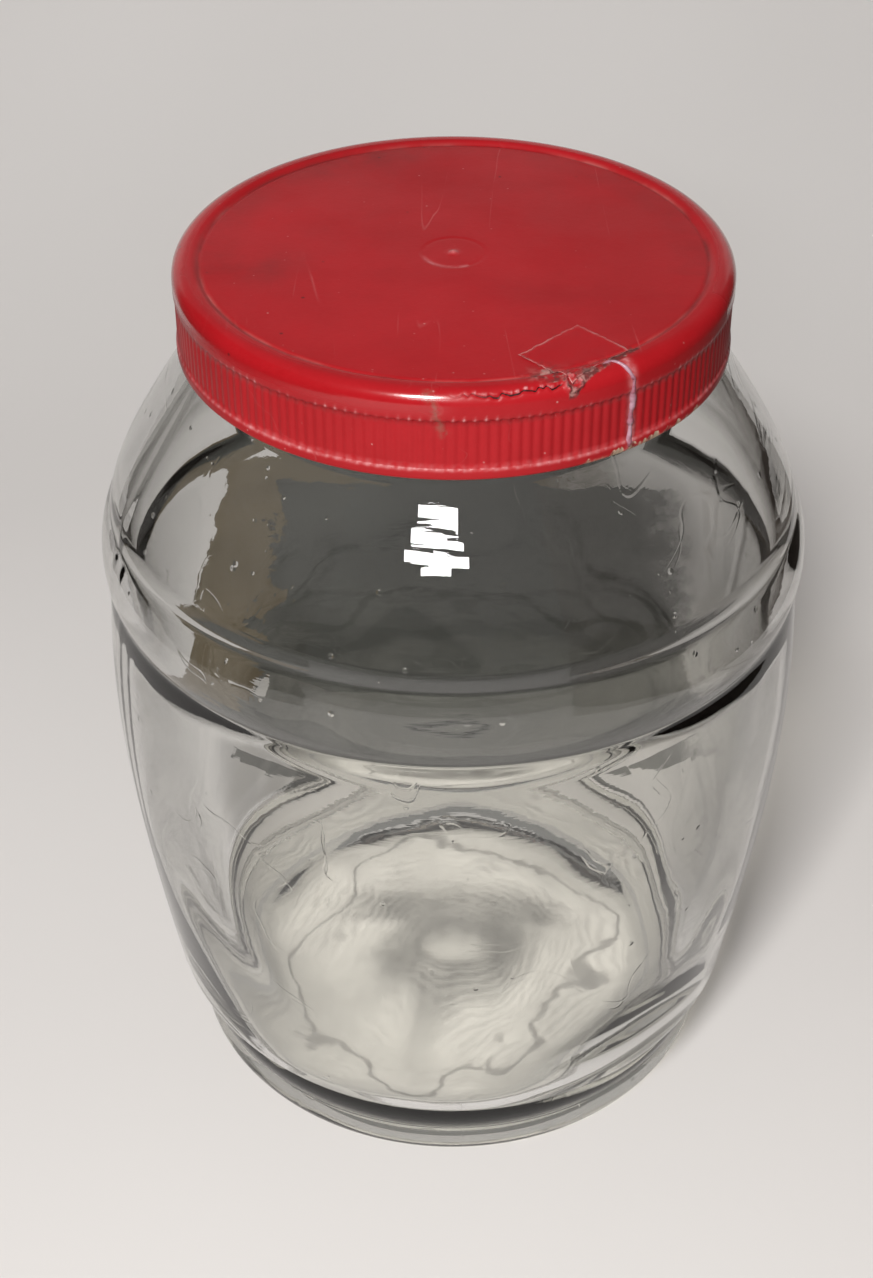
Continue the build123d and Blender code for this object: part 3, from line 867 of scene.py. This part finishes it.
def liner_foam():
    """Off-white closed-cell foam, yellowed where the rim has pressed it."""
    material, n, shader, place = new_material("liner_white_foam")
    cloud = n.span(n.noise(place, 40.0, 4.0), 0.3, 0.7)
    colour = n.mix(cloud, (0.72, 0.70, 0.64, 1), (0.82, 0.80, 0.75, 1))
    colour = n.mix(n.math("MULTIPLY", n.mark("pressed"), 0.6), colour, (0.55, 0.47, 0.34, 1))
    dust = use(n, DUST, {"Vector": place, "Scale": 480.0, "Amount": 0.15})
    n.put(shader.inputs["Base Color"], n.mix(dust, colour, (0.2, 0.17, 0.14, 1)))
    shader.inputs["Roughness"].default_value = 0.85
    cells = n.add("ShaderNodeTexVoronoi", {"Vector": place, "Scale": 1400.0})
    relief = {"Height": cells.outputs["Distance"], "Strength": 0.3, "Distance": 0.0003}
    n.put(shader.inputs["Normal"], n.add("ShaderNodeBump", relief).outputs[0])
    return material


def clear_tape():
    """Clear glossy film: nearly see-through, cloudier and paler along its cut edges, dirty low down."""
    material, n, shader, place = new_material("tape_clear_film")
    edge = n.math("MULTIPLY", n.mark("edge"), n.span(n.noise(place, 300.0, 3.0), 0.3, 0.6, 0.35, 1.0))
    dirt = n.math("MULTIPLY", n.mark("dirty"), n.span(n.noise(place, 380.0, 4.0, 0.65), 0.45, 0.62))
    colour = n.mix(edge, (0.60, 0.012, 0.02, 1), (0.70, 0.30, 0.29, 1))
    colour = n.mix(dirt, colour, (0.20, 0.09, 0.08, 1))
    n.put(shader.inputs["Base Color"], colour)
    n.put(shader.inputs["Roughness"], n.span(n.noise(place, 120.0, 3.0), 0.3, 0.7, 0.22, 0.36))
    dirty = n.math("ADD", n.math("MULTIPLY", dirt, 0.35), 0.32)
    n.put(shader.inputs["Alpha"], n.math("MAXIMUM", n.math("MULTIPLY", edge, 0.8), dirty))
    shader.inputs["IOR"].default_value = 1.47
    ripple = n.noise(place, 160.0, 3.0)
    relief = n.add("ShaderNodeBump", {"Height": ripple, "Strength": 0.2, "Distance": 0.0004})
    n.put(shader.inputs["Normal"], relief.outputs[0])
    return material


def dried_glue():
    """Cloudy dried glue, mauve-white where it is thick."""
    material, n, shader, place = new_material("glue_cloudy")
    cloud = n.span(n.noise(place, 320.0, 4.0, 0.6), 0.35, 0.65)
    n.put(shader.inputs["Base Color"], n.mix(cloud, (0.27, 0.07, 0.10, 1), (0.43, 0.25, 0.31, 1)))
    shader.inputs["Roughness"].default_value = 0.32
    shader.inputs["IOR"].default_value = 1.47
    relief = {"Height": n.noise(place, 800.0, 3.0), "Strength": 0.4, "Distance": 0.0004}
    n.put(shader.inputs["Normal"], n.add("ShaderNodeBump", relief).outputs[0])
    return material


# ---- The pieces in place --------------------------------------------------------------------
def finish_piece(piece, material, body, slot, *nodes):
    """Gives a piece its material and its body, and hides the CAD nodes it stands for. The slot is not used.
    """
    piece.data.materials.append(material)
    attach(piece, body)
    if nodes:
        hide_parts(*nodes)


red = red_plastic()
finish_piece(glass_jar(), jar_glass(), "jar", "jar_glass", "glass_jar")
finish_piece(screw_lid(), red, "lid", "lid_plastic", "screw_lid")
finish_piece(lid_thread(), red, "lid", "lid_plastic")
finish_piece(lid_liner(), liner_foam(), "liner", "liner_foam", "lid_liner")
finish_piece(tape_patch(), clear_tape(), "lid", "clear_tape", "tape_patch")
finish_piece(repair_glue(), dried_glue(), "lid", "dry_glue", "repair_glue")


# ---- Studio ---------------------------------------------------------------------------------
def backdrop():
    """Paper sweep: a flat floor, a quarter-round bend behind the jar and a wall. It is clear from behind."""
    wall_y, bend = 0.72, 0.5
    turn = np.linspace(0, np.pi / 2, 33)
    curve = np.stack([wall_y - bend + bend * np.sin(turn), bend - bend * np.cos(turn)], -1)
    side = np.concatenate([[[-1.3, 0.0]], curve, [[wall_y, 0.55]]])
    x = np.array([-1.1, 1.1])
    points = np.stack([np.tile(x, len(side)), np.repeat(side[:, 0], 2), np.repeat(side[:, 1], 2)], -1)
    sheet = make_mesh("backdrop", points / MM, grid_faces(len(side), 2, wrap=False))
    material, n, shader, place = new_material("backdrop_paper")
    tone = n.span(n.noise(place, 3.0, 2.0), 0.3, 0.7)
    n.put(shader.inputs["Base Color"], n.mix(tone, (0.74, 0.715, 0.70, 1), (0.78, 0.755, 0.74, 1)))
    shader.inputs["Roughness"].default_value = 0.8
    choice = n.add("ShaderNodeMixShader")
    n.put(choice.inputs[0], n.add("ShaderNodeNewGeometry").outputs["Backfacing"])
    n.put(choice.inputs[1], shader.outputs[0])
    n.put(choice.inputs[2], n.add("ShaderNodeBsdfTransparent").outputs[0])
    n.put(n.tree.nodes["Material Output"].inputs["Surface"], choice.outputs[0])
    sheet.data.materials.append(material)


def flag(name, corners, colour, ragged=0.0):
    """A studio flag or a painted card: a dark card that only the glass and the lid's sides show. The camera
    doesn't see it and it throws no shadow.
    A ragged one has uneven ends and thins out towards the given X, in metres; the ragged ones lie behind the
    jar as painted shadow and painted reflection."""
    card = make_mesh(name, np.array(corners, float), [(0, 1, 2, 3)])
    material, n, shader, place = new_material(name)
    tone = n.span(n.noise(place, 9.0, 3.0), 0.3, 0.7, 0.7, 1.3)
    n.put(shader.inputs["Base Color"], n.mix(tone, (0, 0, 0, 1), colour))
    if ragged:
        x = n.add("ShaderNodeSeparateXYZ", {"Vector": place}).outputs[0]
        x = n.math("ADD", x, n.span(n.noise(place, 60.0, 4.0, 0.65), 0.3, 0.7, -0.006, 0.006))
        left = min(point[0] for point in corners) * MM + 0.006
        alpha = n.math("MULTIPLY", n.span(x, ragged, ragged - 0.03), n.span(x, left, left + 0.0006))
        n.put(shader.inputs["Alpha"], alpha)
    shader.inputs["Roughness"].default_value = 0.9
    card.data.materials.append(material)
    card.visible_camera = card.visible_shadow = False
    card.visible_diffuse = not ragged


def painted_floor_card(name, x, y, z, colour, ragged):
    """A ragged card of painted shadow or painted reflection that lies just over the paper behind the jar,
    between two X and two Y.
    """
    flag(name, [(x[0], y[0], z), (x[1], y[0], z), (x[1], y[1], z), (x[0], y[1], z)], colour, ragged)


def side_flag(name, x, y, colour):
    """An upright flag beside the jar, from one Y to another."""
    flag(name, [(x, y[0], 0), (x, y[1], 0), (x, y[1], 520), (x, y[0], 520)], colour)


def area_light(name, place, aim, size, power, colour=(1, 1, 1)):
    """A rectangular soft light at a place, facing the aim point. It shines through the glass by the glass's
    own clear shadow, so it isn't counted again along bent rays."""
    data = bpy.data.lights.new(name, "AREA")
    data.shape, data.size, data.size_y = "RECTANGLE", size[0], size[1]
    data.energy, data.color = power, colour
    lamp = bpy.data.objects.new(name, data)
    bpy.context.scene.collection.objects.link(lamp)
    lamp.location = place
    lamp.visible_transmission = False
    lamp.rotation_mode = "QUATERNION"
    lamp.rotation_quaternion = (Vector(aim) - lamp.location).to_track_quat("-Z", "Y")


def world_light():
    """A dim room that is darkest low in front and lighter through the glass, with a pale wall behind."""
    world = bpy.data.worlds.new("studio")
    world.use_nodes = True
    bpy.context.scene.world = world
    n = Nodes(world.node_tree)
    ray = n.add("ShaderNodeTexCoord").outputs["Generated"]
    parts = n.add("ShaderNodeSeparateXYZ", {"Vector": ray}).outputs
    front = n.span(n.math("MULTIPLY", parts[1], -1.0), 0.15, 0.8)
    low = n.span(parts[2], 0.75, 0.25)
    dark = n.math("MULTIPLY", front, low)
    background = world.node_tree.nodes["Background"]
    room = n.mix(dark, (0.17, 0.17, 0.17, 1), (0.05, 0.05, 0.048, 1))
    path = n.add("ShaderNodeLightPath").outputs
    room = n.mix(path["Is Transmission Ray"], room, (0.30, 0.295, 0.28, 1))
    n.put(background.inputs["Color"], n.mix(path["Is Camera Ray"], room, (0.70, 0.685, 0.67, 1)))
    background.inputs["Strength"].default_value = 0.8


def lamp_bars():
    """Four long narrow lamps, one above another in front; the jar's shoulder mirrors them as short bars."""
    shoulder = Vector((0, -0.061, 0.178))
    away, tall, radiance = 1.5, 0.019, 40.0
    side = math.radians(-6.0)
    for index, (lift, wide) in enumerate([(27.8, 0.26), (28.75, 0.56), (29.8, 0.46), (30.9, 0.36)]):
        up = math.radians(lift)
        way = Vector((math.sin(side) * math.cos(up), -math.cos(side) * math.cos(up), math.sin(up)))
        power = radiance * math.pi * wide * tall
        area_light(f"lamp_bar_{index}", shoulder + way * away, shoulder, (wide, tall), power)


backdrop()
world_light()
# Cards seen through the glass: a painted reflection in tan, a painted shadow in grey and a fainter painted
# shadow next to the jar.
painted_floor_card("card_painted_reflection", (-96, 66), (100, 330), 1.5, (0.17, 0.135, 0.085, 1), 0.066)
painted_floor_card("card_painted_shadow", (-70, 94), (106, 236), 2.5, (0.085, 0.087, 0.08, 1), 0.094)
painted_floor_card("card_faint_painted_shadow", (-70, 94), (75, 106), 2.5, (0.16, 0.16, 0.148, 1), 0.094)
side_flag("flag_left", -360, (-420, 300), (0.045, 0.038, 0.032, 1))
side_flag("flag_right", 270, (300, -420), (0.07, 0.055, 0.045, 1))
lamp_bars()
area_light("key", (-0.17, -0.75, 0.95), (0, 0, 0.1), (0.2, 0.2), 13.6, (1.0, 0.985, 0.965))

# ---- Camera ---------------------------------------------------------------------------------
camera_data = bpy.data.cameras.new("camera")
camera_data.sensor_width = 36.0
camera_data.lens = 61.972
camera = bpy.data.objects.new("camera", camera_data)
bpy.context.scene.collection.objects.link(camera)
camera.location = (0.0, -0.4091, 0.4148)
camera.rotation_euler = (math.radians(90 - 37.0), math.radians(0.1), math.radians(0.44))
camera_data.clip_start, camera_data.clip_end = 0.01, 20
bpy.context.scene.camera = camera
bpy.context.scene.view_settings.view_transform = "Standard"
